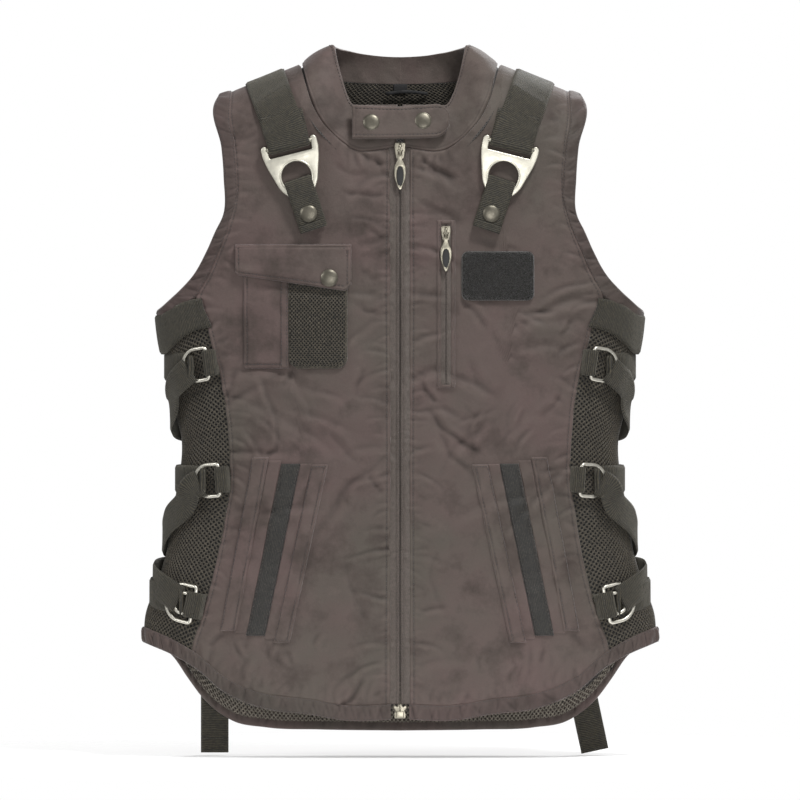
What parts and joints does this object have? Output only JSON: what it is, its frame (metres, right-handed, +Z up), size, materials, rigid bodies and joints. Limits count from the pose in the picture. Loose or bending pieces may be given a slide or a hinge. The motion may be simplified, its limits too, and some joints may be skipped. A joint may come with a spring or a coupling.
{
  "type": "safety vest",
  "caption": "Zip-front padded vest with webbing shoulder straps, cast buckles, mesh sides laced through rings, snap collar tab and pockets.",
  "frame": {"origin": "centre of the bounding box's bottom face: the middle of the vest, at the height of the tail ends", "axes": "+Z up from hem to collar, +X to the wearer's left, front faces -Y"},
  "size_m": [0.4666, 0.1255, 0.6406],
  "materials": {
    "shell_nylon": "matte woven nylon, dark grey-brown",
    "spacer_mesh": "black knitted spacer mesh",
    "webbing": "dark olive-black woven webbing",
    "zip_tape": "black woven zip tape",
    "loop_pile": "black fuzzy loop pile",
    "ribbed_elastic": "black ribbed elastic",
    "label_tape": "black woven tape",
    "cast_buckle": "satin cast metal",
    "ring_wire": "satin nickel",
    "zip_metal": "satin nickel",
    "snap_metal": "gunmetal snaps"
  },
  "bodies": {
    "vest": {"back_panel": "shell_nylon", "back_lining": "spacer_mesh", "front_panel_left": "shell_nylon", "front_panel_right": "shell_nylon", "front_lining_left": "spacer_mesh", "front_lining_right": "spacer_mesh", "side_mesh_left": "spacer_mesh", "side_mesh_right": "spacer_mesh", "armhole_binding_left": "shell_nylon", "armhole_binding_right": "shell_nylon", "front_hem_left": "shell_nylon", "front_hem_right": "shell_nylon", "back_hem": "shell_nylon", "collar_back": "shell_nylon", "neck_label": "label_tape", "hanger_loop": "label_tape", "zip_tape_left": "zip_tape", "zip_tape_right": "zip_tape", "zip_retainer": "zip_metal", "chest_pocket": "shell_nylon", "pocket_window": "spacer_mesh", "snap_studs": "snap_metal", "chest_zip_tape": "zip_tape", "loop_patch": "loop_pile", "hand_pocket_left": "shell_nylon", "hand_pocket_right": "shell_nylon", "pocket_gusset_left": "ribbed_elastic", "pocket_gusset_right": "ribbed_elastic", "shoulder_strap_left": "webbing", "shoulder_strap_right": "webbing", "side_strap_left": "webbing", "side_strap_right": "webbing", "ring_tabs_left": "webbing", "ring_tabs_right": "webbing", "laced_rings_left": "ring_wire", "laced_rings_right": "ring_wire", "lacing_left": "webbing", "lacing_right": "webbing"},
    "collar_left": {"collar_front_left": "shell_nylon", "collar_stud": "snap_metal"},
    "collar_right": {"collar_front_right": "shell_nylon"},
    "collar_tab": {"collar_tab": "shell_nylon", "collar_tab_snaps": "snap_metal"},
    "main_slider": {"main_slider": "zip_metal"},
    "main_pull": {"main_pull": "zip_metal"},
    "pocket_flap": {"pocket_flap": "shell_nylon", "flap_snap": "snap_metal"},
    "chest_slider": {"chest_slider": "zip_metal"},
    "chest_pull": {"chest_pull": "zip_metal"},
    "buckle_left": {"buckle_left": "cast_buckle", "buckle_tab_left": "webbing", "tab_snap_left": "snap_metal"},
    "buckle_right": {"buckle_right": "cast_buckle", "buckle_tab_right": "webbing", "tab_snap_right": "snap_metal"},
    "loose_ring_left": {"loose_ring_left": "ring_wire"},
    "loose_ring_right": {"loose_ring_right": "ring_wire"},
    "tail_left": {"tail_left": "webbing"},
    "tail_right": {"tail_right": "webbing"}
  },
  "joints": [
    {"name": "collar_left_open", "type": "hinge", "parent": "vest", "child": "collar_left", "pos_m": [0, -0.058, 0.38], "axis": [0.2562, 0.002, 0.9666], "range_deg": [0, 70]},
    {"name": "collar_right_open", "type": "hinge", "parent": "vest", "child": "collar_right", "pos_m": [0, -0.058, 0.38], "axis": [0.2562, -0.002, -0.9666], "range_deg": [0, 70]},
    {"name": "main_slider_slide", "type": "slide", "parent": "vest", "child": "main_slider", "axis": [0, 0, -1], "range_m": [0, 0.158]},
    {"name": "main_pull_swing", "type": "hinge", "parent": "main_slider", "child": "main_pull", "pos_m": [0, -0.06065, 0.542], "axis": [-1, 0, 0], "range_deg": [0, 140]},
    {"name": "collar_tab_swing", "type": "hinge", "parent": "collar_right", "child": "collar_tab", "pos_m": [-0.041, -0.0609, 0.567], "axis": [0, -0.1908, -0.9816], "range_deg": [0, 80]},
    {"name": "pocket_flap_lift", "type": "hinge", "parent": "vest", "child": "pocket_flap", "pos_m": [-0.09603, -0.05859, 0.454], "axis": [-0.9965, 0.0838, 0], "range_deg": [0, 110]},
    {"name": "chest_slider_slide", "type": "slide", "parent": "vest", "child": "chest_slider", "axis": [0, 0, -1], "range_m": [0, 0.118]},
    {"name": "chest_pull_swing", "type": "hinge", "parent": "chest_slider", "child": "chest_pull", "pos_m": [0.04108, -0.06196, 0.468], "axis": [-0.9998, -0.0183, 0], "range_deg": [0, 140]},
    {"name": "buckle_left_lift", "type": "hinge", "parent": "vest", "child": "buckle_left", "pos_m": [0.101, -0.06016, 0.54563], "axis": [-0.9487, -0.0672, 0.309], "range_deg": [0, 50]},
    {"name": "buckle_right_lift", "type": "hinge", "parent": "vest", "child": "buckle_right", "pos_m": [-0.101, -0.06016, 0.54563], "axis": [-0.9487, 0.0672, -0.309], "range_deg": [0, 50]},
    {"name": "loose_ring_left_swing", "type": "hinge", "parent": "vest", "child": "loose_ring_left", "pos_m": [0.1894, -0.03825, 0.13591], "axis": [0.2015, 0.051, -0.9781], "range_deg": [0, 80]},
    {"name": "loose_ring_right_swing", "type": "hinge", "parent": "vest", "child": "loose_ring_right", "pos_m": [-0.1894, -0.03825, 0.13591], "axis": [0.2015, -0.051, 0.9781], "range_deg": [0, 80]},
    {"name": "tail_left_swing", "type": "hinge", "parent": "vest", "child": "tail_left", "pos_m": [0.163, 0.03961, 0.063], "axis": [1, 0, 0], "range_deg": [0, 60]},
    {"name": "tail_right_swing", "type": "hinge", "parent": "vest", "child": "tail_right", "pos_m": [-0.1675, 0.03872, 0.063], "axis": [1, 0, 0], "range_deg": [0, 60]}
  ],
  "couplings": [
    {"joint": "collar_left_open", "follows": "main_slider_slide", "rad_per_m": 7.73},
    {"joint": "collar_right_open", "follows": "main_slider_slide", "rad_per_m": 7.73}
  ]
}
